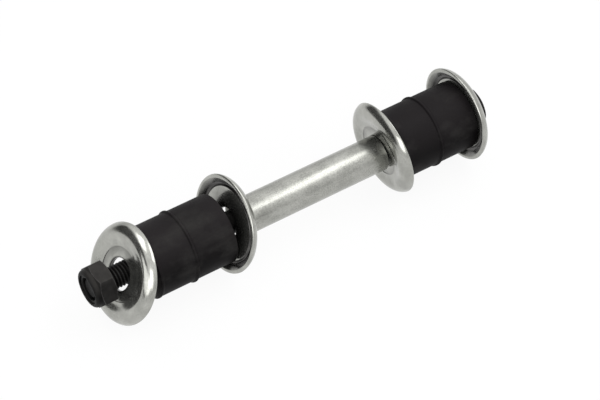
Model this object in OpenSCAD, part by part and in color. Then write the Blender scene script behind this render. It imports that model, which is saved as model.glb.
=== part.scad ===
// Bolt-type stabilizer link: rubber bushings, dished washers and a spacer sleeve on one long bolt.
// The bolt lies along X with its head toward +X and Z pointing up, and every length is in millimetres.
// The far seam, where the suspension arm is clamped, sits at the origin.

/* [Bolt] */
// Outside diameter of the bolt thread and shank
bolt_d = 10; // [9:0.1:10.5]
// Width across flats of the bolt head
head_af = 17; // [15:0.5:18]
// Height of the bolt head
head_h = 7.2; // [5:0.1:8]
// How far the bolt tip stays inside the nut
tip_recess = 1.4; // [0.8:0.1:2]

/* [Nut] */
// Width across flats of the lock nut
nut_af = 17.5; // [16:0.5:18]
// Height of the hexagon of the nut
nut_hex_h = 7.6; // [5.5:0.1:8]
// Height of the round collar of the nut
nut_collar_h = 2.1; // [2:0.1:3.5]
// Wall left around the locking ring
nut_collar_wall = 1.3; // [1:0.1:1.6]

/* [Washers] */
// Outside diameter of a dished washer
washer_d = 43; // [40:0.5:46]
// Height of a dished washer from rim to crown
washer_h = 4.1; // [3.6:0.1:5]
// Width of the rolled ring that stiffens the washer
ring_w = 6.5; // [5.5:0.1:7.5]
// Height of the rolled ring above the flat middle
ring_rise = 0.8; // [0.4:0.1:1.2]
// Thickness of the washer sheet
sheet_t = 1.8; // [1.4:0.1:2]
// Diameter of the hole in a washer
washer_hole_d = 13.8; // [13:0.1:14]
// Diameter of the stepped seat in the flat middle
recess_d = 23; // [22:0.5:25]
// Depth of the stepped seat
recess_depth = 0.2; // [0.1:0.05:0.4]

/* [Bushings] */
// Diameter of a rubber bushing
bushing_d = 31; // [29:0.5:32]
// Length of a bushing from its seam face to its shoulder
bushing_len = 18.6; // [16:0.1:22]
// Diameter of the flat on the nose of a bushing
nose_d = 21.5; // [20:0.5:22]
// Height of the rounded nose beyond the shoulder
nose_h = 0.9; // [0.6:0.1:1.5]
// Height of the moulded lip at the seam
lip_h = 0.7; // [0.3:0.1:1]
// Height of the low lip beside the nose
nose_lip_h = 0.3; // [0.1:0.05:0.4]
// Width of the moulded lip
lip_w = 1.1; // [0.9:0.1:1.8]

/* [Sleeve] */
// Outside diameter of the spacer sleeve
sleeve_d = 16; // [15:0.5:17]
// Inside diameter of the spacer sleeve
sleeve_bore_d = 11; // [10.8:0.1:12]
// Length of the spacer sleeve
sleeve_len = 73.2; // [50:0.1:90]

/* [Loose stack] */
// Lean of the washer next to the nut
nut_lean = 25.3; // [18:0.1:26]
// Lean of the washer next to the near end of the sleeve
sleeve_lean = 13.5; // [8:0.1:15]
// Lean of the washer next to the far end of the sleeve
far_lean = 5.3; // [2:0.1:7]
// How far the loose washers hang to the back of the bolt
washer_side = 0.6; // [0:0.1:0.8]
// Slack between the near pair and the sleeve washer
pair_slack = 1.4; // [0.8:0.1:3]
// Slack between the near pair and the nut washer
nut_slack = 2.45; // [2:0.05:6]
// Slack between the foot of the nut washer and the nut
nut_gap = 2; // [0.2:0.1:4]

/* [Hidden] */
$fn = 96;
// Running clearance on the bolt and inside the nut
fit_gap = 0.05;
// Clearance where two loose pieces just rest on each other
rest_gap = 0.06;
bolt_r = bolt_d / 2;
bore_r = bolt_r + fit_gap;
// Outlines of the washers, measured from the rim plane toward the crown
washer_r = washer_d / 2;
hole_r = washer_hole_d / 2;
recess_r = recess_d / 2;
flat_out = washer_h - ring_rise;
flat_in = flat_out - sheet_t;
floor_out = flat_out - recess_depth;
floor_in = floor_out - sheet_t;
floor_mid = (floor_out + floor_in) / 2;
arc_steps = 20;
// Outlines of the bushings, measured from the seam face
bushing_r = bushing_d / 2;
nose_r = nose_d / 2;
pair_half = bushing_len + nose_h;
// The lip beside the nose stops short of the rim of a leaning washer
lip_end = bushing_len - 0.5;
lip_edge = 0.4;
// The far pair is closed against the head washer
seat_x = pair_half + sheet_t;
far_rim_x = pair_half - floor_in;
// The far sleeve washer stands on the foot of the bushing nose and leans on the sleeve
far_floor_x = -pair_half - rest_gap - tan(far_lean) * (nose_r + sheet_t / 2 * sin(far_lean));
far_mid_x = far_floor_x - sheet_t / 2 * cos(far_lean);
// The sleeve hangs on the bolt and touches the top of that washer
sleeve_z = -(sleeve_bore_d / 2 - bore_r);
sleeve_top_z = sleeve_d / 2 + sleeve_z;
far_lean_z = sleeve_top_z + sheet_t / 2 * sin(far_lean);
sleeve_x1 = far_mid_x - sheet_t / 2 * cos(far_lean) - far_lean_z * tan(far_lean) - rest_gap;
sleeve_x0 = sleeve_x1 - sleeve_len;
// The near sleeve washer leans back on the top of the sleeve end
sleeve_drop = (washer_hole_d * cos(sleeve_lean) - sheet_t * sin(sleeve_lean)) / 2 - bolt_r;
sleeve_mid_z = -0.4 * sleeve_drop;
sleeve_floor_z = sleeve_mid_z - sheet_t / 2 * sin(sleeve_lean);
sleeve_floor_x = sleeve_x0 - rest_gap - (sleeve_top_z - sleeve_floor_z) * tan(sleeve_lean);
sleeve_mid_x = sleeve_floor_x - sheet_t / 2 * cos(sleeve_lean);
// The near pair stands clear of the leaning washers
near_nose_x = sleeve_mid_x - sheet_t / 2 - nose_r * tan(sleeve_lean) - pair_slack;
near_seam_x = near_nose_x - pair_half;
near_end_x = near_seam_x - pair_half;
// The nut washer hangs on the bolt by the top of its hole
nut_drop = (washer_hole_d * cos(nut_lean) - sheet_t * sin(nut_lean)) / 2 - bolt_r - 0.15;
nut_mid_z = -nut_drop;
nut_mid_x = near_end_x - sheet_t / 2 - nose_r * tan(nut_lean) - nut_slack;
nut_floor_x = nut_mid_x - sheet_t / 2 * cos(nut_lean);
nut_floor_z = nut_mid_z + sheet_t / 2 * sin(nut_lean);
// The nut stands a little clear of the foot of that washer
nut_face_r = nut_af / 2 * 0.95;
nut_x = nut_floor_x - (nut_face_r + nut_floor_z) * tan(nut_lean) - nut_gap;
nut_collar_x = nut_x - nut_hex_h;
nut_end_x = nut_collar_x - nut_collar_h;
nut_collar_r = nut_af / 2 * 0.97;
tip_x = nut_end_x + tip_recess;
// The locking ring lies in a pocket of the collar
ring_r = nut_collar_r - nut_collar_wall;
ring_x0 = nut_end_x + 0.7;
ring_x1 = nut_collar_x + 0.4;
// One corner of the nut points up and to the front, as it lies in the photograph
hex_turn = 20;

// Colours of the preview
steel_black = [0.16, 0.16, 0.16];
zinc = [0.74, 0.76, 0.74];
rubber = [0.12, 0.12, 0.12];
ring_grey = [0.3, 0.3, 0.3];

// Lays a body that was drawn along Z down onto the X axis
module along_x(x) {
    translate([x, 0, 0])
        rotate([0, 90, 0])
            children();
}

// The same, with its far end pointing toward the nut
module against_x(x) {
    translate([x, 0, 0])
        rotate([0, -90, 0])
            children();
}

// Quarter of an ellipse around [cr, cz], from angle a0 to angle a1
function oval(cr, cz, rr, rz, a0, a1) = [
    for (i = [0 : arc_steps])
        let (a = a0 + (a1 - a0) * i / arc_steps)
            [cr + rr * cos(a), cz + rz * sin(a)]
];

// Hexagon with its corners turned off by a cone at both ends
module chamfered_hex(af, h, cut0, cut1) {
    corner_r = af / 2 / cos(30);
    face_r = af / 2 * 0.95;
    rise = (corner_r - face_r) * tan(30);
    intersection() {
        rotate([0, 0, hex_turn])
            cylinder(h = h, r = corner_r, $fn = 6);
        rotate_extrude()
            polygon([
                [0, 0],
                [cut0 ? face_r : corner_r, 0],
                [corner_r + 0.01, cut0 ? rise : 0],
                [corner_r + 0.01, cut1 ? h - rise : h],
                [cut1 ? face_r : corner_r, h],
                [0, h]
            ]);
    }
}

// Half a wave from [r0, z0] to [r1, z1], level at both ends
function wave(r0, z0, r1, z1) = [
    for (i = [0 : arc_steps / 2])
        let (a = 360 * i / arc_steps)
            [r0 + (r1 - r0) * a / 180, z0 + (z1 - z0) * (1 - cos(a)) / 2]
];

// Section of a dished washer: stepped seat, flat middle, rolled ring and rim
function washer_outline() =
    let (
        flat_r = washer_r - ring_w,
        top_r = flat_r + 2,
        in_r = washer_r - sheet_t
    )
    concat(
        [[hole_r, floor_in], [hole_r, floor_out], [recess_r - 0.15, floor_out], [recess_r + 0.1, flat_out]],
        wave(flat_r, flat_out, top_r, washer_h),
        oval(top_r, 0, washer_r - top_r, washer_h, 85, 0),
        oval(top_r, 0, in_r - top_r, washer_h - sheet_t, 0, 85),
        wave(top_r, washer_h - sheet_t, flat_r + 0.3, flat_in),
        [[recess_r + 0.1, flat_in], [recess_r - 0.15, floor_in]]
    );

module dished_washer() {
    color(zinc)
        rotate_extrude()
            polygon(washer_outline());
}

// Section of a plain bushing: seam face, cylinder, shoulder and domed nose
function plain_outline() =
    concat(
        [[bore_r, 0]],
        oval(bushing_r - 0.5, 0.5, 0.5, 0.5, -90, 0),
        oval(nose_r, bushing_len, bushing_r - nose_r, nose_h, 0, 90),
        [[bore_r, pair_half]]
    );

// The same with a moulded lip at the seam and another beside the nose
function lipped_outline() =
    let (
        lip_r = bushing_r + lip_h,
        edge_r = lip_r - lip_edge,
        low_r = bushing_r + nose_lip_h,
        low_edge_r = low_r - lip_edge
    )
    concat(
        [[bore_r, 0]],
        oval(edge_r, lip_edge, lip_edge, lip_edge, -90, 0),
        [[lip_r, lip_w - 0.2], [bushing_r, lip_w + 0.3]],
        [[bushing_r, lip_end - lip_w - 0.3], [low_r, lip_end - lip_w + 0.2]],
        oval(low_edge_r, lip_end - lip_edge, lip_edge, lip_edge, 0, 80),
        oval(nose_r, lip_end, bushing_r - 0.3 - nose_r, pair_half - lip_end, 2, 90),
        [[bore_r, pair_half]]
    );

module rubber_bushing(lipped) {
    color(rubber)
        rotate_extrude()
            polygon(lipped ? lipped_outline() : plain_outline());
}

// Hex bolt with a plain shank, the thread itself is only shown in the picture
module bolt() {
    tip_bevel = 1;
    color(steel_black) {
        along_x(seat_x)
            chamfered_hex(head_af, head_h, false, true);
        along_x(tip_x)
            rotate_extrude()
                polygon([
                    [0, 0],
                    [bolt_r - tip_bevel, 0],
                    [bolt_r, tip_bevel],
                    [bolt_r, seat_x - tip_x + 0.5],
                    [0, seat_x - tip_x + 0.5]
                ]);
    }
}

// Hex lock nut, its round collar is turned in over the locking ring
module nut_body() {
    mouth_r = ring_r - 0.8;
    color(steel_black)
        difference() {
            union() {
                against_x(nut_x)
                    chamfered_hex(nut_af, nut_hex_h, true, true);
                against_x(nut_collar_x + 0.5)
                    rotate_extrude()
                        polygon(concat(
                            [[0, 0], [nut_collar_r, 0]],
                            oval(nut_collar_r - 1.5, nut_collar_h - 1, 1.5, 1.5, 0, 90),
                            [[0, nut_collar_h + 0.5]]
                        ));
            }
            along_x(nut_end_x - 1)
                cylinder(h = nut_collar_h + nut_hex_h + 2, r = bore_r);
            along_x(ring_x0 - fit_gap)
                cylinder(h = ring_x1 - ring_x0 + 2 * fit_gap, r = ring_r + fit_gap);
            along_x(nut_end_x - 1)
                cylinder(h = 2, r = mouth_r);
        }
}

// Locking ring inside the collar
module nut_ring() {
    color(ring_grey)
        along_x(ring_x0)
            difference() {
                cylinder(h = ring_x1 - ring_x0, r = ring_r);
                translate([0, 0, -1])
                    cylinder(h = ring_x1 - ring_x0 + 2, r = bore_r);
            }
}

// Washer beside the nut, hanging on the bolt with its top leaning toward the bushing
module washer_nut() {
    translate([nut_mid_x, washer_side, nut_mid_z])
        rotate([0, nut_lean, 0])
            against_x(floor_mid)
                dished_washer();
}

module bushing_nut_outer() {
    against_x(near_seam_x)
        rubber_bushing(true);
}

module bushing_nut_inner() {
    along_x(near_seam_x)
        rubber_bushing(false);
}

// Washer beside the near end of the sleeve, leaning against the top of it
module washer_sleeve_near() {
    translate([sleeve_mid_x, washer_side, sleeve_mid_z])
        rotate([0, sleeve_lean, 0])
            along_x(-floor_mid)
                dished_washer();
}

// Spacer tube with both edges broken
module sleeve() {
    edge = 0.4;
    color(zinc)
        translate([0, 0, sleeve_z])
            along_x(sleeve_x0)
                rotate_extrude()
                    polygon([
                        [sleeve_bore_d / 2, 0],
                        [sleeve_d / 2 - edge, 0],
                        [sleeve_d / 2, edge],
                        [sleeve_d / 2, sleeve_len - edge],
                        [sleeve_d / 2 - edge, sleeve_len],
                        [sleeve_bore_d / 2, sleeve_len]
                    ]);
}

// Washer beside the far end of the sleeve, its top leaning toward the sleeve
module washer_sleeve_far() {
    translate([far_mid_x, washer_side, 0])
        rotate([0, -far_lean, 0])
            against_x(floor_mid)
                dished_washer();
}

module bushing_head_inner() {
    against_x(0)
        rubber_bushing(true);
}

module bushing_head_outer() {
    along_x(0)
        rubber_bushing(false);
}

module washer_head() {
    translate([0, washer_side, 0])
        along_x(far_rim_x)
            dished_washer();
}

bolt();
nut_body();
nut_ring();
washer_nut();
bushing_nut_outer();
bushing_nut_inner();
washer_sleeve_near();
sleeve();
washer_sleeve_far();
bushing_head_inner();
bushing_head_outer();
washer_head();
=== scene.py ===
# %% [markdown]
# # A stabilizer link, built piece by piece
# A stabilizer link ties the anti-roll bar of a car to its suspension arm. It is a stack of rings on
# one long bolt: rubber bushings in pairs, dished washers that hold them, and a steel sleeve that keeps
# the two pairs apart. The frame already holds a plain solid of every piece. This lesson rebuilds each
# of them with the rounded edges, the thread and the finishes that those solids leave out.

# %% Load the frame
import math

import bmesh
import bpy
from mathutils import Matrix, Vector


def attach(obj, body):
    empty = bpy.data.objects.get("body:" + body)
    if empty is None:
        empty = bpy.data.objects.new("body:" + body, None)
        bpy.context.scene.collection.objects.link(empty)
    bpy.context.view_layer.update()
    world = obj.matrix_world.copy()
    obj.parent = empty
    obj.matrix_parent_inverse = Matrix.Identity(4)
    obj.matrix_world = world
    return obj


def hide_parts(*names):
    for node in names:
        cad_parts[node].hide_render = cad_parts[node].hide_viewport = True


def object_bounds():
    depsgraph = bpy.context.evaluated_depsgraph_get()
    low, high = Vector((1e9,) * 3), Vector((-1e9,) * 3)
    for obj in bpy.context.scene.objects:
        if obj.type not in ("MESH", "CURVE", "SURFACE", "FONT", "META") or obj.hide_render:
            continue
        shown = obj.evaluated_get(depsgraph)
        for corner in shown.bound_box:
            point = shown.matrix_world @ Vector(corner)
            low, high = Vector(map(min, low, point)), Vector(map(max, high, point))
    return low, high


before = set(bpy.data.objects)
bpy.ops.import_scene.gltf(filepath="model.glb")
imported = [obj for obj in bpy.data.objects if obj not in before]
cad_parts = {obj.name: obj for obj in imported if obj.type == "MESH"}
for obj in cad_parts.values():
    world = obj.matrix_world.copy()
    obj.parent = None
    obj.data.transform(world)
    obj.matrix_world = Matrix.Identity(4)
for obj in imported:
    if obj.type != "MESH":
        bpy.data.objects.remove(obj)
cad_low, cad_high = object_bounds()
scene = bpy.context.scene
scene.view_settings.view_transform = "Standard"

# %% [markdown]
# ## The camera
# The link was photographed from the nut's side, from 45 degrees above, with a long lens. A long lens
# flattens the picture, so the far washer is nearly as large as the near one. The camera could be set by
# eye, but its place and lens follow from how the outlines of the washers and the sleeve lie in the
# picture, so they are given as numbers.

# %% Place the camera
EYE = Vector((-0.47425577, -0.60856032, 0.72727757))
GAZE = Vector((0.39555586, 0.5862676, -0.70698364))
LENS = 146.746

camera = bpy.data.objects.new("camera", bpy.data.cameras.new("camera"))
scene.collection.objects.link(camera)
camera.location = EYE
camera.rotation_mode = "QUATERNION"
camera.rotation_quaternion = GAZE.to_track_quat("-Z", "Y")
camera.data.sensor_fit = "HORIZONTAL"
camera.data.sensor_width = 36.0
camera.data.lens = LENS
scene.camera = camera
print("camera: lens", LENS, "mm,", round(EYE.length, 3), "m from the far seam")

# %% [markdown]
# ## Nodes that every finish shares
# A finish is a small graph of nodes. Noise that reads Object coordinates stays put on a piece when the
# piece moves, and needs no unwrapping. Ramps turn that noise into colours, map ranges turn it into
# roughness, and a bump node turns it into fine relief.

# %% Helpers for the finishes
def start_finish(name):
    """A new material with its graph and its shader."""
    finish = bpy.data.materials.new(name)
    finish.use_nodes = True
    return finish, finish.node_tree, finish.node_tree.nodes["Principled BSDF"]


def grain(tree, scale, detail, stretch=(1.0, 1.0, 1.0), blur=0.5):
    """Noise on the piece's own coordinates, with so many grains to the metre."""
    coords = tree.nodes.new("ShaderNodeTexCoord")
    mapping = tree.nodes.new("ShaderNodeMapping")
    mapping.inputs["Scale"].default_value = stretch
    noise = tree.nodes.new("ShaderNodeTexNoise")
    noise.inputs["Scale"].default_value = scale
    noise.inputs["Detail"].default_value = detail
    noise.inputs["Roughness"].default_value = blur
    tree.links.new(coords.outputs["Object"], mapping.inputs["Vector"])
    tree.links.new(mapping.outputs["Vector"], noise.inputs["Vector"])
    return noise.outputs["Fac"]


def ramp(tree, source, *stops):
    """Colours along a source, each stop a place and a colour."""
    node = tree.nodes.new("ShaderNodeValToRGB")
    elements = node.color_ramp.elements
    while len(elements) < len(stops):
        elements.new(0.5)
    for element, (place, colour) in zip(elements, stops):
        element.position = place
        element.color = (*colour, 1.0)
    tree.links.new(source, node.inputs["Fac"])
    return node.outputs["Color"]


def spread(tree, source, low, high, start=0.3, end=0.7):
    """A number that runs from low to high as the source runs from start to end."""
    node = tree.nodes.new("ShaderNodeMapRange")
    for socket, value in zip(("From Min", "From Max", "To Min", "To Max"), (start, end, low, high)):
        node.inputs[socket].default_value = value
    tree.links.new(source, node.inputs["Value"])
    return node.outputs["Result"]


def blend_colours(tree, first, second, share, how="MIX"):
    """The second colour laid over the first by a share that may be a number or a socket."""
    node = tree.nodes.new("ShaderNodeMix")
    node.data_type = "RGBA"
    node.blend_type = how
    if isinstance(share, float):
        node.inputs["Factor"].default_value = share
    else:
        tree.links.new(share, node.inputs["Factor"])
    tree.links.new(first, node.inputs["A"])
    tree.links.new(second, node.inputs["B"])
    return node.outputs["Result"]


def relief(tree, shader, *layers):
    """Stacks bump layers, each a source, a strength and a height in metres."""
    below = None
    for source, strength, height in layers:
        node = tree.nodes.new("ShaderNodeBump")
        node.inputs["Strength"].default_value = strength
        node.inputs["Distance"].default_value = height
        tree.links.new(source, node.inputs["Height"])
        if below is not None:
            tree.links.new(below, node.inputs["Normal"])
        below = node.outputs["Normal"]
    tree.links.new(below, shader.inputs["Normal"])


def facing_up(tree):
    """A share that grows where the piece faces up, for a tone painted paler as light from above."""
    coords = tree.nodes.new("ShaderNodeTexCoord")
    parts = tree.nodes.new("ShaderNodeSeparateXYZ")
    tree.links.new(coords.outputs["Normal"], parts.inputs["Vector"])
    return spread(tree, parts.outputs["Z"], 0.0, 1.0, 0.2, 0.95)


def grey(value, warm=0.0):
    """A grey as written in linear light, a little warmer or cooler."""
    return (value * (1.0 + warm), value, value * (1.0 - warm))


print("helpers ready")

# %% [markdown]
# ## Zinc plating
# The washers and the sleeve are steel with a thin coat of zinc. Zinc is a satin mirror: it shows soft
# reflections, with faint clouds where the bath was uneven and a fine speckle of small crystals. A
# metallic shader gives the reflections, slow noise gives the clouds, and fast noise gives the speckle.
# The washers carry a value in their grooves, on the step of the seat and round the hole, and the
# finish lays a dull dark grey over the zinc by it. That grey is painted shade for those recesses.

# %% Make the zinc finishes
def zinc_finish(name, clouds, streak, rough, fleck_share):
    """Zinc with so many clouds to the metre, drawn out by streak, and a share of speckle."""
    finish, tree, shader = start_finish(name)
    shader.inputs["Metallic"].default_value = 0.93
    cloud = grain(tree, clouds, 4.0, streak, blur=0.55)
    speck = grain(tree, 1900.0, 2.0, blur=0.7)
    tint = ramp(tree, cloud, (0.32, (0.325, 0.327, 0.303)), (0.68, (0.440, 0.442, 0.412)))
    fleck = ramp(tree, speck, (0.36, grey(0.62)), (0.54, grey(1.0)))
    clean = blend_colours(tree, tint, fleck, fleck_share, "MULTIPLY")
    # Painted shade: a dull dark grey laid over the zinc where the washer's value marks a recess.
    recess_shade = tree.nodes.new("ShaderNodeAttribute")
    recess_shade.attribute_name = "recess_shade"
    painted_shade_grey = ramp(tree, cloud, (0.30, grey(0.030, 0.03)), (0.70, grey(0.110, 0.03)))
    tree.links.new(
        blend_colours(tree, clean, painted_shade_grey, recess_shade.outputs["Fac"]), shader.inputs["Base Color"]
    )
    tree.links.new(spread(tree, cloud, rough - 0.05, rough + 0.06), shader.inputs["Roughness"])
    relief(tree, shader, (speck, 0.12, 0.00006), (cloud, 0.10, 0.0002))
    return finish


washer_zinc = zinc_finish("washer_zinc", 150.0, (1.0, 1.0, 1.0), 0.19, 0.35)
sleeve_zinc = zinc_finish("sleeve_zinc", 210.0, (0.6, 1.0, 1.0), 0.27, 0.7)
print("zinc finishes:", washer_zinc.name, sleeve_zinc.name)

# %% [markdown]
# ## Rubber
# The bushings are moulded from black rubber. It is matte and never quite clean: handling leaves faint
# grey scuffs and the mould leaves a fine grain. The side that lies up is painted paler, as light from
# above. The scuffs are slow noise pushed through a ramp so that only its peaks show, and they also lift
# the roughness a little. The painted light is blended in by how far the rubber faces up.

# %% Make the rubber finish
rubber, tree, shader = start_finish("bushing_rubber")
shader.inputs["Specular IOR Level"].default_value = 0.06
scuff = grain(tree, 75.0, 5.0, (0.6, 1.0, 1.0), blur=0.6)
pores = grain(tree, 2600.0, 3.0, blur=0.6)
smear = grain(tree, 28.0, 2.0)
dark = ramp(tree, smear, (0.35, (0.0026, 0.0022, 0.0024)), (0.70, (0.0042, 0.0036, 0.0039)))
# Painted light: a paler rubber for faces that look up, standing in for light from above.
top_lit_rubber = ramp(tree, smear, (0.35, (0.0105, 0.0092, 0.0098)), (0.70, (0.0172, 0.0150, 0.0158)))
dust_and_top_light = ramp(tree, pores, (0.30, grey(0.020, 0.04)), (0.70, grey(0.034, 0.04)))
top_lit_base = blend_colours(tree, dark, top_lit_rubber, facing_up(tree))
tree.links.new(
    blend_colours(tree, top_lit_base, dust_and_top_light, spread(tree, scuff, 0.0, 0.65, 0.51, 0.72)),
    shader.inputs["Base Color"],
)
tree.links.new(spread(tree, scuff, 0.50, 0.66), shader.inputs["Roughness"])
relief(tree, shader, (pores, 0.16, 0.00008), (scuff, 0.10, 0.0004))
print("finish:", rubber.name)

# %% [markdown]
# ## Black steel
# The bolt and the nut have a black oxide coat. It is thin, so the steel shows through along edges that
# were knocked. The meshes carry a value called wear, which is 1 along such edges, and the finish lays a
# paler, brighter steel over the black there, broken up by noise. Faces that look up get a paler coat,
# painted light from above. The nut gets more of it than the bolt, so the finish is made twice, with two
# amounts of it.

# %% Make the black steel finishes
def black_finish(name, dust_and_top_light):
    """A black oxide coat with a paler coat painted on the faces that look up, as light from above."""
    finish, tree, shader = start_finish(name)
    shader.inputs["Specular IOR Level"].default_value = 0.06
    mottle = grain(tree, 220.0, 5.0, blur=0.6)
    pits = grain(tree, 3200.0, 2.0, blur=0.6)
    wear = tree.nodes.new("ShaderNodeAttribute")
    wear.attribute_name = "wear"
    rub = tree.nodes.new("ShaderNodeMath")
    rub.operation = "MULTIPLY"
    tree.links.new(wear.outputs["Fac"], rub.inputs[0])
    tree.links.new(spread(tree, mottle, 0.15, 0.75, 0.35, 0.65), rub.inputs[1])
    low_coat = ramp(tree, mottle, (0.30, grey(0.0016, 0.06)), (0.72, grey(0.0032, 0.06)))
    # Painted light: a paler coat for faces that look up, standing in for light from above.
    top_lit_coat = ramp(tree, mottle, (0.30, grey(dust_and_top_light * 0.8, 0.06)), (0.72, grey(dust_and_top_light * 1.15, 0.06)))
    coat = blend_colours(tree, low_coat, top_lit_coat, facing_up(tree))
    bare = ramp(tree, pits, (0.30, grey(0.075, 0.02)), (0.70, grey(0.13, 0.02)))
    tree.links.new(
        blend_colours(tree, coat, bare, rub.outputs["Value"]), shader.inputs["Base Color"]
    )
    tree.links.new(spread(tree, mottle, 0.38, 0.52), shader.inputs["Roughness"])
    relief(tree, shader, (pits, 0.10, 0.00005), (mottle, 0.08, 0.0002))
    print("finish:", finish.name)
    return finish


# The second number is the level of the paler coat painted on faces that look up, as light from above.
nut_black = black_finish("nut_black", 0.026)
bolt_black = black_finish("bolt_black", 0.008)

# %% [markdown]
# ## Locking ring
# The ring in the collar of the nut is nylon, which grips the thread. Only a dark sliver of it shows, so
# its finish is a plain dark plastic with a little grain.

# %% Make the nylon finish
nylon, tree, shader = start_finish("ring_nylon")
shader.inputs["Specular IOR Level"].default_value = 0.1
bits = grain(tree, 900.0, 3.0)
tree.links.new(
    ramp(tree, bits, (0.3, grey(0.004, 0.02)), (0.7, grey(0.007, 0.03))),
    shader.inputs["Base Color"],
)
tree.links.new(spread(tree, bits, 0.42, 0.55), shader.inputs["Roughness"])
relief(tree, shader, (bits, 0.15, 0.00005))
print("finish:", nylon.name)

# %% [markdown]
# ## Tools for turned pieces
# Most pieces are rings. Each could be stacked from cylinders, but a ring on a lathe is one outline turned
# round one axis, and bmesh's spin does just that. Long curves of an outline are drawn as points on an
# ellipse or a wave, and a bevel rounds the corner rings that the press or the mould would round.
# Everything is drawn in millimetres along X and scaled to metres when the piece is finished.

# %% Helpers for turned pieces
MM = 0.001
NEAR = 0.002
SHARP = math.radians(38)


def curve(x, radius, rise, reach, start, end, steps=12):
    """Points on an ellipse round (x, radius), from one angle to another."""
    angles = [math.radians(start + (end - start) * i / steps) for i in range(steps + 1)]
    return [(x + rise * math.sin(a), radius + reach * math.cos(a)) for a in angles]


def swell(x0, radius0, x1, radius1, steps=8):
    """Points on half a wave, level at both ends."""
    shares = [i / steps for i in range(steps + 1)]
    return [
        (x0 + (x1 - x0) * (1 - math.cos(math.pi * f)) / 2, radius0 + (radius1 - radius0) * f)
        for f in shares
    ]


def turn_outline(outline, steps=144):
    """Spins a closed outline of (x, radius) corners once round the X axis."""
    bm = bmesh.new()
    corners = [bm.verts.new((x, 0.0, radius)) for x, radius in outline]
    sides = [bm.edges.new((corners[i - 1], corner)) for i, corner in enumerate(corners)]
    bmesh.ops.spin(
        bm, geom=corners + sides, cent=(0, 0, 0), axis=(1, 0, 0), dvec=(0, 0, 0),
        angle=2 * math.pi, steps=steps, use_merge=True,
    )
    bmesh.ops.remove_doubles(bm, verts=bm.verts, dist=NEAR / 10)
    bmesh.ops.recalc_face_normals(bm, faces=bm.faces)
    return bm


def round_rings(bm, *corners):
    """Rounds corner rings, each given as x, radius, width and number of segments."""
    for x, radius, width, segments in corners:
        ring = [
            edge for edge in bm.edges
            if all(
                abs(v.co.x - x) < NEAR and abs(math.hypot(v.co.y, v.co.z) - radius) < NEAR
                for v in edge.verts
            )
        ]
        bmesh.ops.bevel(
            bm, geom=ring, offset=width, offset_type="OFFSET", segments=segments,
            profile=0.5, affect="EDGES", material=-1,
        )


def add_piece(name, bm, place, finish, body, node):
    """Sets a drawn piece in its place, scales it to metres and hands it to its body."""
    bmesh.ops.transform(bm, matrix=Matrix.Scale(MM, 4) @ place, verts=bm.verts)
    mesh = bpy.data.meshes.new(name)
    bm.to_mesh(mesh)
    bm.free()
    mesh.shade_smooth()
    mesh.set_sharp_from_angle(angle=SHARP)
    mesh.materials.append(finish)
    piece = bpy.data.objects.new(name, mesh)
    scene.collection.objects.link(piece)
    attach(piece, body)
    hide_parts(node)
    print(name, "has", len(mesh.polygons), "faces")


def at_x(x):
    """Draws from x toward the head."""
    return Matrix.Translation((x, 0, 0))


def at_x_back(x):
    """Draws from x toward the nut."""
    return Matrix.Translation((x, 0, 0)) @ Matrix.Rotation(math.pi, 4, "Z")


print("turning tools ready")

# %% [markdown]
# ## Dished washers
# A washer is pressed from 1.8 mm sheet: a flat middle with a shallow stepped seat round the hole, and a
# rolled ring that stiffens it and runs down to the rim, so that the rubber can't creep out. A single
# skin could be given a thickness by a modifier, but the press makes the two sides differ. So the outline
# has an outside, where a wave rises from the flat and an arc rolls over to the rim, and an inside, where
# the ring is a groove that runs out more straight.

# %% Draw one washer
RIM_R = 21.5
SHEET = 1.8
HOLE_R = 6.9
CROWN = 4.1
FLAT = 3.3
SEAT_STEP = 0.2
DISH = FLAT - SEAT_STEP
DISH_MID = DISH - SHEET / 2
BEND = 4.98
EDGE = math.radians(10)
BEND_R = RIM_R - BEND * math.cos(EDGE)
SEAT_R = 11.5
EDGE_X = 0.55
EDGE_R = 1.5
GROOVE_X = -0.1
GROOVE_MID_R = 16.2
GROOVE_BEND = 2.4
GROOVE_R = 16.0
GROOVE_END_R = 19.5
SKIN_LINE = 20.4


def mark_recess_shade(bm):
    """Marks the groove, the step of the seat and the wall of the hole, where painted shade darkens the
    zinc.
    """
    # Painted shade: 1 in the groove, less at its edge and on the seat step, nearly 1 round the hole.
    recess_shade = bm.verts.layers.float.new("recess_shade")
    for v in bm.verts:
        radius = math.hypot(v.co.y, v.co.z)
        # The groove's skin lies below this line and the outside lies above it.
        in_groove = v.co.x < min(CROWN - 1.5, SKIN_LINE - radius)
        if GROOVE_R < radius < GROOVE_END_R and in_groove:
            v[recess_shade] = 1.0
        elif GROOVE_END_R <= radius < GROOVE_END_R + 0.5 and in_groove:
            v[recess_shade] = 0.5
        elif SEAT_R - 0.2 < radius < SEAT_R + 0.1 and v.co.x > DISH - NEAR:
            v[recess_shade] = 0.45
        elif radius < HOLE_R + 0.3:
            v[recess_shade] = 0.95


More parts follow.
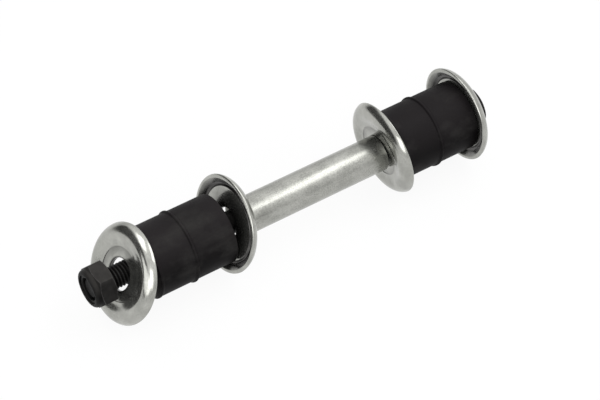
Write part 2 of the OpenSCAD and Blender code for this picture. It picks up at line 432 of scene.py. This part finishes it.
def dished_washer():
    """A washer with its rim at x 0 and its crown toward +X."""
    middle = CROWN - BEND
    rim_x = middle + BEND * math.sin(EDGE)
    inner_x, inner_r = rim_x - EDGE_X, RIM_R - EDGE_R
    outside = (
        [(DISH - SHEET, HOLE_R), (DISH, HOLE_R), (DISH, HOLE_R + 0.9), (DISH, SEAT_R - 0.15)]
        + [(FLAT, SEAT_R)] + swell(FLAT, SEAT_R + 0.4, CROWN, BEND_R, 16)
        + curve(middle, BEND_R, BEND, BEND, 86, 10, 18)
    )
    inside = (
        [(inner_x, inner_r)]
        + curve(GROOVE_X, GROOVE_MID_R, GROOVE_BEND, GROOVE_BEND, 38, 70)
        + swell(2.16, 17.0, FLAT - SHEET, 15.9)
    )
    bm = turn_outline(outside + inside)
    round_rings(
        bm, (DISH, HOLE_R, 0.2, 3), (DISH - SHEET, HOLE_R, 0.2, 3), (FLAT, SEAT_R, 0.08, 2),
        (rim_x, RIM_R, 0.45, 5), (inner_x, inner_r, 0.5, 4),
    )
    mark_recess_shade(bm)
    return bm


print("washer: rim", 2 * RIM_R, "mm across, sheet", SHEET, "mm")

# %% [markdown]
# ## Leaning washers
# The nut has not been run down, so the stack is loose. Three washers hang on the bolt and lean: the one
# at the nut by 25 degrees, the one at the near end of the sleeve by 14 and the one at its far end by 5
# the other way. A lean is a turn about the horizontal axis across the bolt, through the middle of the
# washer's hole.

# %% Set the four washers
SIDE = 0.6


def leaning(x, z, lean, back):
    """The place of a washer whose hole is centred at x, z and whose top leans toward the head."""
    swing = Matrix.Translation((x, SIDE, z)) @ Matrix.Rotation(math.radians(lean), 4, "Y")
    facing = Matrix.Rotation(math.pi, 4, "Z") if back else Matrix.Identity(4)
    return swing @ facing @ Matrix.Translation((-DISH_MID, 0, 0))


for name, place, body, node in (
    ("washer_at_nut", leaning(-151.58, -0.7035, 25.3, True), "nut_washer", "washer_nut"),
    ("washer_at_sleeve", leaning(-99.2675, -0.5997, 13.5, False), "near_washer", "washer_sleeve_near"),
    ("washer_far", leaning(-21.4611, 0.0, -5.3, True), "far_washer", "washer_sleeve_far"),
    ("washer_at_head", leaning(20.4, 0.0, 0.0, False), "bolt_group", "washer_head"),
):
    add_piece(name, dished_washer(), place, washer_zinc, body, node)

# %% [markdown]
# ## Bushings
# Each pair of bushings grips a plate between its two seam faces, and its noses sit in the washers. One
# bushing of a pair has a thin moulded lip at its seam and a lower one beside its nose, the other is
# plain. The nose is part of a flat ellipse, because a bevel would make it a quarter circle and the real
# one is flatter.

# %% Mould the bushings
BORE_R = 5.05
BODY_R = 15.5
LIP_R = 16.2
LIP_W = 0.9
LIP_FOOT = 1.4
LOW_LIP_R = 15.8
LOW_LIP_FOOT = 16.7
LOW_LIP = 17.2
LOW_LIP_END = 18.1
NOSE = 19.5
NOSE_R = 10.75
SHOULDER = 18.6
LOW_SHOULDER = 18.15


def plain_bushing():
    """A bushing from its seam face at x 0 to its nose."""
    bm = turn_outline(
        [(0.0, BORE_R), (0.0, BODY_R)]
        + curve(SHOULDER, NOSE_R, NOSE - SHOULDER, BODY_R - NOSE_R, 0, 90)
        + [(NOSE, BORE_R)]
    )
    round_rings(bm, (0.0, BODY_R, 0.45, 4), (0.0, BORE_R, 0.4, 2), (NOSE, BORE_R, 0.4, 2))
    return bm


def lipped_bushing():
    """The same with a lip at the seam and a lower one beside the nose."""
    bm = turn_outline(
        [(0.0, BORE_R), (0.0, LIP_R), (LIP_W, LIP_R), (LIP_FOOT, BODY_R), (LOW_LIP_FOOT, BODY_R),
         (LOW_LIP, LOW_LIP_R), (LOW_LIP_END, LOW_LIP_R), (LOW_SHOULDER, 15.3)]
        + curve(LOW_SHOULDER, NOSE_R, NOSE - LOW_SHOULDER, 15.2 - NOSE_R, 3, 90)
        + [(NOSE, BORE_R)]
    )
    round_rings(
        bm, (0.0, LIP_R, 0.38, 4), (LIP_W, LIP_R, 0.3, 3), (LIP_FOOT, BODY_R, 0.3, 3),
        (LOW_LIP_FOOT, BODY_R, 0.3, 3), (LOW_LIP, LOW_LIP_R, 0.3, 3), (LOW_LIP_END, LOW_LIP_R, 0.25, 3),
        (0.0, BORE_R, 0.4, 2), (NOSE, BORE_R, 0.4, 2),
    )
    return bm


NEAR_SEAM = -123.6484
for name, bm, place, body, node in (
    ("bushing_at_nut", lipped_bushing(), at_x_back(NEAR_SEAM), "near_bushing_outer",
     "bushing_nut_outer"),
    ("bushing_near", plain_bushing(), at_x(NEAR_SEAM), "near_bushing_inner", "bushing_nut_inner"),
    ("bushing_far", lipped_bushing(), at_x_back(0.0), "bolt_group", "bushing_head_inner"),
    ("bushing_at_head", plain_bushing(), at_x(0.0), "bolt_group", "bushing_head_outer"),
):
    add_piece(name, bm, place, rubber, body, node)

# %% [markdown]
# ## Sleeve
# The sleeve is a length of steel tube that keeps the two inner washers apart. A saw and a tumbler leave
# its ends square with softened edges, so it is one turned rectangle with four bevels.

# %% Cut the sleeve
SLEEVE_END = -96.3254
SLEEVE_LEN = 73.2
SLEEVE_DROP = -0.45
SLEEVE_R = 8.0
SLEEVE_BORE_R = 5.5

bm = turn_outline([
    (0.0, SLEEVE_BORE_R), (0.0, SLEEVE_R), (SLEEVE_LEN, SLEEVE_R), (SLEEVE_LEN, SLEEVE_BORE_R),
])
for end in (0.0, SLEEVE_LEN):
    round_rings(bm, (end, SLEEVE_R, 0.45, 4), (end, SLEEVE_BORE_R, 0.4, 3))
place = Matrix.Translation((SLEEVE_END, 0, SLEEVE_DROP))
add_piece("sleeve_tube", bm, place, sleeve_zinc, "sleeve_group", "sleeve")

# %% [markdown]
# ## Tools for hexagons
# A hex nut or bolt head is a hexagon whose corners a lathe has cut back to a cone, which leaves the
# curved edge that meets every flat. A boolean could cut it, but would leave ragged faces. Here a ring of
# edges is extruded ring by ring, and each new ring is pushed out to a hexagon or a circle. Where the
# hexagon ring stands further out, it also sits lower, and that gives the cone.

# %% Helpers for hexagons
RING_COUNT = 96
NUT_FLATS = 17.5
HEAD_FLATS = 17.0
CONE = math.tan(math.radians(30))
BLUNT = 0.12


def first_ring(bm, radius, height):
    """The ring of edges that a piece starts from."""
    made = bmesh.ops.create_circle(
        bm, cap_ends=False, segments=RING_COUNT, radius=radius,
        matrix=Matrix.Translation((0, 0, height)),
    )
    return list({edge for v in made["verts"] for edge in v.link_edges})


def next_ring(bm, edges, shape, worn=0.0):
    """Extrudes a ring and moves each new corner to the radius and height of its angle."""
    wear = bm.verts.layers.float.get("wear") or bm.verts.layers.float.new("wear")
    made = bmesh.ops.extrude_edge_only(bm, edges=edges)["geom"]
    for v in made:
        if isinstance(v, bmesh.types.BMVert):
            angle = math.atan2(v.co.y, v.co.x)
            radius, height = shape(angle)
            v.co = (radius * math.cos(angle), radius * math.sin(angle), height)
            v[wear] = worn
    return [e for e in made if isinstance(e, bmesh.types.BMEdge) and e.is_boundary]


def circle(radius, height):
    """A plain ring."""
    return lambda angle: (radius, height)


def face_radius(flats):
    """The circle that the cone leaves on the end of a hexagon."""
    return flats / 2 * 0.95


def hexagon(flats, height, cone=0.0, inset=0.0):
    """A hexagon ring, drawn back along the cone where it stands out."""
    def shape(angle):
        off_flat = angle % math.radians(60) - math.radians(30)
        corner = flats / 2 / math.cos(math.radians(30))
        radius = min(flats / 2 / math.cos(off_flat), corner - BLUNT)
        return radius - inset, height - cone * (radius - face_radius(flats)) * CONE
    return shape


print("hexagons:", NUT_FLATS, "and", HEAD_FLATS, "mm across flats")

# %% [markdown]
# ## Lock nut
# The nut has a cone at both ends of its hexagon and a round collar that is rolled over a locking ring.
# The rings run from the bearing face over the hexagon and the collar into the mouth and back down the
# bore, where the last ring is bridged to the first. One corner of the hexagon faces the camera.

# %% Forge the nut
NUT_FACE = -158.1721
HEX_H = 7.6
NUT_H = 9.69
NUT_BORE_R = 5.05
COLLAR_R = NUT_FLATS / 2 * 0.97
COLLAR_WALL = 1.3
MOUTH_R = COLLAR_R - COLLAR_WALL - 0.8
POCKET_R = COLLAR_R - COLLAR_WALL + 0.05
FACE_R = face_radius(NUT_FLATS)

bm = bmesh.new()
bore = ring = first_ring(bm, NUT_BORE_R, 0.0)
for shape, worn in (
    (circle(FACE_R - 0.1, 0.0), 0.2),
    (circle(FACE_R + 0.05, 0.06), 0.5),
    (hexagon(NUT_FLATS, 0.0, -1.0), 0.8),
    (hexagon(NUT_FLATS, 0.25, -1.0), 0.1),
    (hexagon(NUT_FLATS, HEX_H - 0.25, 1.0), 0.1),
    (hexagon(NUT_FLATS, HEX_H, 1.0), 1.0),
    (hexagon(NUT_FLATS, HEX_H + 0.05, 1.0, 0.25), 0.2),
    (circle(COLLAR_R + 0.02, HEX_H - 0.05), 0.0),
    (circle(COLLAR_R - 0.05, HEX_H + 0.15), 0.0),
    (circle(COLLAR_R - 0.10, HEX_H + 0.60), 0.0),
    (circle(COLLAR_R - 0.25, HEX_H + 1.15), 0.05),
    (circle(COLLAR_R - 0.60, HEX_H + 1.65), 0.15),
    (circle(COLLAR_R - 1.05, HEX_H + 1.97), 0.1),
    (circle(COLLAR_R - 1.55, NUT_H), 0.0),
    (circle(MOUTH_R + 0.12, NUT_H - 0.03), 0.1),
    (circle(MOUTH_R, NUT_H - 0.15), 0.1),
    (circle(MOUTH_R, NUT_H - 0.65), 0.0),
    (circle(POCKET_R, NUT_H - 0.65), 0.0),
    (circle(POCKET_R, HEX_H - 0.45), 0.0),
    (circle(NUT_BORE_R, HEX_H - 0.45), 0.0),
):
    ring = next_ring(bm, ring, shape, worn)
bmesh.ops.bridge_loops(bm, edges=ring + [e for e in bore if e.is_boundary])
bmesh.ops.recalc_face_normals(bm, faces=bm.faces)
NUT_TURN = Matrix.Rotation(math.radians(20), 4, "Z")
LAY_BACK = Matrix.Rotation(-math.pi / 2, 4, "Y")
LAY_AHEAD = Matrix.Rotation(math.pi / 2, 4, "Y")
add_piece(
    "nut_hex", bm, at_x(NUT_FACE) @ LAY_BACK @ NUT_TURN, nut_black, "nut_group",
    "nut_body",
)

# %% [markdown]
# ## Ring in the nut
# The locking ring is cut from a nylon tube, dropped into the collar and held there when the lip of the
# collar is rolled in. It doesn't turn with the nut in this model, so it is a piece of its own: a turned
# rectangle with softened edges, as it would come from a lathe.

# %% Fit the locking ring
RING_R = COLLAR_R - COLLAR_WALL
RING_W = 1.8
bm = turn_outline(
    [(0.0, NUT_BORE_R), (0.0, RING_R), (RING_W, RING_R), (RING_W, NUT_BORE_R)], 96
)
for end in (0.0, RING_W):
    round_rings(bm, (end, RING_R, 0.2, 3), (end, NUT_BORE_R, 0.35, 3))
add_piece(
    "nut_locking_ring", bm, at_x(NUT_FACE - NUT_H + 0.7), nylon, "nut_ring_group",
    "nut_ring",
)

# %% [markdown]
# ## Thread of the bolt
# A thread is one tooth swept along a helix. Spin can do that too: with a small step along the axis at
# each turn, the outline of one pitch climbs by exactly one pitch per turn and meets itself. The rough
# ends of the sweep are cut off with bisect_plane, the tip is cut to a cone, and at the other end the
# tooth fades out into the plain shank as a rolled thread does. The nut has rubbed along the crests, so
# they carry a little wear.

# %% Roll the thread
PITCH = 1.5
CREST_R = 4.95
ROOT_R = 4.06
TURN_STEPS = 40
TIP = -166.4721
SEAT = 21.3
THREAD_LEN = 34.0
SHANK_R = 4.98
TIP_R = 3.8
FADE = 3.0
CREST_WEAR = 0.35

bm = bmesh.new()
tooth = [
    (0.0, ROOT_R), (0.11, ROOT_R), (0.27, 0.5 * (ROOT_R + CREST_R)), (0.43, CREST_R),
    (0.57, CREST_R), (0.73, 0.5 * (ROOT_R + CREST_R)), (0.89, ROOT_R), (1.0, ROOT_R),
]
corners = [bm.verts.new((radius, 0.0, (share - 1.0) * PITCH)) for share, radius in tooth]
sides = [bm.edges.new(pair) for pair in zip(corners, corners[1:])]
turns = math.ceil(THREAD_LEN / PITCH) + 2
bmesh.ops.spin(
    bm, geom=corners + sides, cent=(0, 0, 0), axis=(0, 0, 1), dvec=(0, 0, PITCH / TURN_STEPS),
    angle=2 * math.pi * turns, steps=TURN_STEPS * turns,
)
bmesh.ops.remove_doubles(bm, verts=bm.verts, dist=0.01)
for height, keep_above in ((0.0, True), (THREAD_LEN, False)):
    bmesh.ops.bisect_plane(
        bm, geom=bm.verts[:] + bm.edges[:] + bm.faces[:], dist=0.0005, plane_co=(0, 0, height),
        plane_no=(0, 0, 1), clear_inner=keep_above, clear_outer=not keep_above,
    )
wear = bm.verts.layers.float.new("wear")
for v in bm.verts:
    radius = math.hypot(v.co.x, v.co.y)
    fade = min(max((v.co.z - THREAD_LEN + FADE) / FADE, 0.0), 1.0)
    fade = fade * fade * (3 - 2 * fade)
    wanted = min(radius + (SHANK_R - radius) * fade, TIP_R + v.co.z)
    v[wear] = CREST_WEAR if wanted > CREST_R - 0.05 else 0.0
    v.co.x *= wanted / radius
    v.co.y *= wanted / radius
print("thread:", turns - 2, "turns of", PITCH, "mm pitch")

# %% [markdown]
# ## Shank and head
# The shank is the plain part that the sleeve and the washers ride on. It grows from a ring next to the
# thread up to the head, and a bridge closes the narrow strip between that ring and the cut end of the
# thread. The head is a hexagon with the lathe's cone on its outer end only.

# %% Close the bolt
def open_loop(bm, height):
    """The open edges that lie at a height."""
    return [
        e for e in bm.edges if e.is_boundary and all(abs(v.co.z - height) < 0.01 for v in e.verts)
    ]


bmesh.ops.contextual_create(bm, geom=open_loop(bm, 0.0))
GRIP = SEAT - TIP
HEAD_H = 7.2
HEAD_FACE_R = face_radius(HEAD_FLATS)
thread_end = open_loop(bm, THREAD_LEN)
shank_start = ring = first_ring(bm, SHANK_R, THREAD_LEN + 0.8)
for shape, worn in (
    (circle(SHANK_R, GRIP - 1.2), 0.0),
    (circle(SHANK_R + 0.1, GRIP - 0.6), 0.0),
    (circle(SHANK_R + 0.5, GRIP), 0.0),
    (circle(HEAD_FLATS / 2 - 0.3, GRIP), 0.2),
    (hexagon(HEAD_FLATS, GRIP), 0.7),
    (hexagon(HEAD_FLATS, GRIP + 0.25), 0.1),
    (hexagon(HEAD_FLATS, GRIP + HEAD_H - 0.25, 1.0), 0.1),
    (hexagon(HEAD_FLATS, GRIP + HEAD_H, 1.0), 1.0),
    (hexagon(HEAD_FLATS, GRIP + HEAD_H + 0.05, 1.0, 0.25), 0.3),
    (circle(HEAD_FACE_R, GRIP + HEAD_H - 0.04), 0.6),
    (circle(HEAD_FACE_R - 0.3, GRIP + HEAD_H), 0.1),
    (circle(HEAD_FACE_R - 3.0, GRIP + HEAD_H), 0.0),
):
    ring = next_ring(bm, ring, shape, worn)
bmesh.ops.contextual_create(bm, geom=ring)
bmesh.ops.bridge_loops(bm, edges=thread_end + [e for e in shank_start if e.is_boundary])
bmesh.ops.recalc_face_normals(bm, faces=bm.faces)
add_piece(
    "bolt_threaded", bm, at_x(TIP) @ LAY_AHEAD, bolt_black, "bolt_group", "bolt"
)

# %% [markdown]
# ## Floor
# The link was photographed on white. The floor is a sheet of white paper. Lamps alone could make it read
# as white, but they would bleach the zinc as well. So it glows where it is looked at, by the camera or in
# a reflection, and a small share of plain paper lets it keep a pale shadow.

# %% Lay the floor
GLOW_SHARE = 0.92
PAPER_HALF = 4.0
floor_mesh = bpy.data.meshes.new("floor")
bm = bmesh.new()
bmesh.ops.create_grid(
    bm, x_segments=1, y_segments=1, size=PAPER_HALF,
    matrix=Matrix.Translation((0, 0, cad_low.z)),
)
bm.to_mesh(floor_mesh)
bm.free()
floor = bpy.data.objects.new("floor", floor_mesh)
scene.collection.objects.link(floor)

paper = bpy.data.materials.new("white_paper")
paper.use_nodes = True
tree = paper.node_tree
tree.nodes.remove(tree.nodes["Principled BSDF"])
sheet = tree.nodes.new("ShaderNodeBsdfDiffuse")
sheet.inputs["Color"].default_value = (0.85, 0.85, 0.85, 1.0)
glow = tree.nodes.new("ShaderNodeEmission")
seen = tree.nodes.new("ShaderNodeLightPath")
direct = tree.nodes.new("ShaderNodeMath")
direct.operation = "MAXIMUM"
tree.links.new(seen.outputs["Is Camera Ray"], direct.inputs[0])
tree.links.new(seen.outputs["Is Glossy Ray"], direct.inputs[1])
viewed = tree.nodes.new("ShaderNodeMath")
viewed.operation = "MAXIMUM"
tree.links.new(direct.outputs["Value"], viewed.inputs[0])
tree.links.new(seen.outputs["Is Transmission Ray"], viewed.inputs[1])
share = tree.nodes.new("ShaderNodeMath")
share.operation = "MULTIPLY"
share.inputs[1].default_value = GLOW_SHARE
tree.links.new(viewed.outputs["Value"], share.inputs[0])
mixed = tree.nodes.new("ShaderNodeMixShader")
tree.links.new(share.outputs["Value"], mixed.inputs["Fac"])
tree.links.new(sheet.outputs["BSDF"], mixed.inputs[1])
tree.links.new(glow.outputs["Emission"], mixed.inputs[2])
tree.links.new(mixed.outputs["Shader"], tree.nodes["Material Output"].inputs["Surface"])
floor_mesh.materials.append(paper)
print("floor at", round(cad_low.z, 5))

# %% [markdown]
# ## The room that the metal mirrors
# Zinc shows its surroundings more than its own colour. A picture of a room could stand in for them, but
# soft patches by direction are enough: white below, greyer round the horizon, brighter overhead and low
# at the near left, and one dark side beyond the nut, which gives the washers their black bands. The
# camera itself sees plain white there.

# %% Paint the room
def region(tree, direction, toward, stretch, full, gone):
    """A share that is 1 round one direction and fades out, narrower where it is stretched."""
    offset = tree.nodes.new("ShaderNodeVectorMath")
    offset.operation = "SUBTRACT"
    offset.inputs[1].default_value = toward
    tree.links.new(direction, offset.inputs[0])
    scaled = tree.nodes.new("ShaderNodeVectorMath")
    scaled.operation = "MULTIPLY"
    scaled.inputs[1].default_value = stretch
    tree.links.new(offset.outputs["Vector"], scaled.inputs[0])
    size = tree.nodes.new("ShaderNodeVectorMath")
    size.operation = "LENGTH"
    tree.links.new(scaled.outputs["Vector"], size.inputs[0])
    return spread(tree, size.outputs["Value"], 1.0, 0.0, full, gone)


def paint(tree, below, share, colour):
    """A plain colour laid over another by a share."""
    node = tree.nodes.new("ShaderNodeMix")
    node.data_type = "RGBA"
    node.inputs["B"].default_value = (*colour, 1.0)
    tree.links.new(share, node.inputs["Factor"])
    tree.links.new(below, node.inputs["A"])
    return node.outputs["Result"]


world = bpy.data.worlds.new("studio")
scene.world = world
world.use_nodes = True
tree = world.node_tree
room = tree.nodes["Background"]
coords = tree.nodes.new("ShaderNodeTexCoord")
upward = tree.nodes.new("ShaderNodeSeparateXYZ")
tree.links.new(coords.outputs["Generated"], upward.inputs["Vector"])
sky = ramp(
    tree, spread(tree, upward.outputs["Z"], 0.0, 1.0, -1.0, 1.0),
    (0.0, grey(1.0)), (0.38, grey(1.0)), (0.45, grey(0.80)), (0.55, grey(0.74)), (0.68, grey(0.97)),
    (0.82, grey(1.22)), (0.95, grey(1.32)),
)
around = coords.outputs["Generated"]
near_left = region(tree, around, (-0.72, -0.50, -0.47), (1.0, 1.0, 1.0), 0.25, 0.70)
sky = paint(tree, sky, near_left, grey(1.40))
behind = region(tree, around, (-0.798, 0.518, 0.309), (0.9, 0.9, 1.6), 0.76, 0.87)
sky = paint(tree, sky, behind, grey(0.03))
tree.links.new(sky, room.inputs["Color"])
backdrop = tree.nodes.new("ShaderNodeBackground")
backdrop.inputs["Color"].default_value = (1.0, 1.0, 1.0, 1.0)
seen = tree.nodes.new("ShaderNodeLightPath")
mixed = tree.nodes.new("ShaderNodeMixShader")
tree.links.new(seen.outputs["Is Camera Ray"], mixed.inputs["Fac"])
tree.links.new(room.outputs["Background"], mixed.inputs[1])
tree.links.new(backdrop.outputs["Background"], mixed.inputs[2])
tree.links.new(mixed.outputs["Shader"], tree.nodes["World Output"].inputs["Surface"])
print("room painted:", world.name)

# %% [markdown]
# ## Lamps
# Large soft boxes draw the bright bands. The key box hangs above the sleeve, and the camera box stands
# on the camera's side. The side box and the top box whiten the ring of the washer at the nut. On the
# washer at the far end of the sleeve they would wash out its black band. A studio would hang a flag in
# between. Here light linking does it: the two boxes light the other three washers only.

# %% Set the lamps
AIM = Vector((-0.06, 0.0, 0.0))


def soft_box(name, toward, distance, width, height, power):
    """A large soft lamp that stands in a direction and shines at the middle of the sleeve."""
    lamp = bpy.data.lights.new(name, "AREA")
    lamp.shape = "RECTANGLE"
    lamp.size = width
    lamp.size_y = height
    lamp.energy = power
    stand = bpy.data.objects.new(name, lamp)
    scene.collection.objects.link(stand)
    toward = Vector(toward).normalized()
    stand.location = AIM + toward * distance
    stand.rotation_mode = "QUATERNION"
    stand.rotation_quaternion = (-toward).to_track_quat("-Z", "Y")
    print(name, "at", [round(value, 2) for value in stand.location])
    return stand


soft_box("key_box", (0.40, -0.22, 0.89), 1.0, 0.8, 0.34, 2.1)
soft_box("camera_box", (-0.479, -0.711, 0.515), 1.5, 0.76, 0.92, 5.6)
side_box = soft_box("side_box", (-0.9285, -0.206, 0.309), 1.5, 1.70, 0.72, 8.2)
top_box = soft_box("top_box", (-0.224, 0.320, 0.9205), 1.2, 0.80, 0.62, 3.6)
open_washers = bpy.data.collections.new("open_washers")
for name in ("washer_at_nut", "washer_at_sleeve", "washer_at_head"):
    open_washers.objects.link(bpy.data.objects[name])
for lamp in (side_box, top_box):
    lamp.light_linking.receiver_collection = open_washers
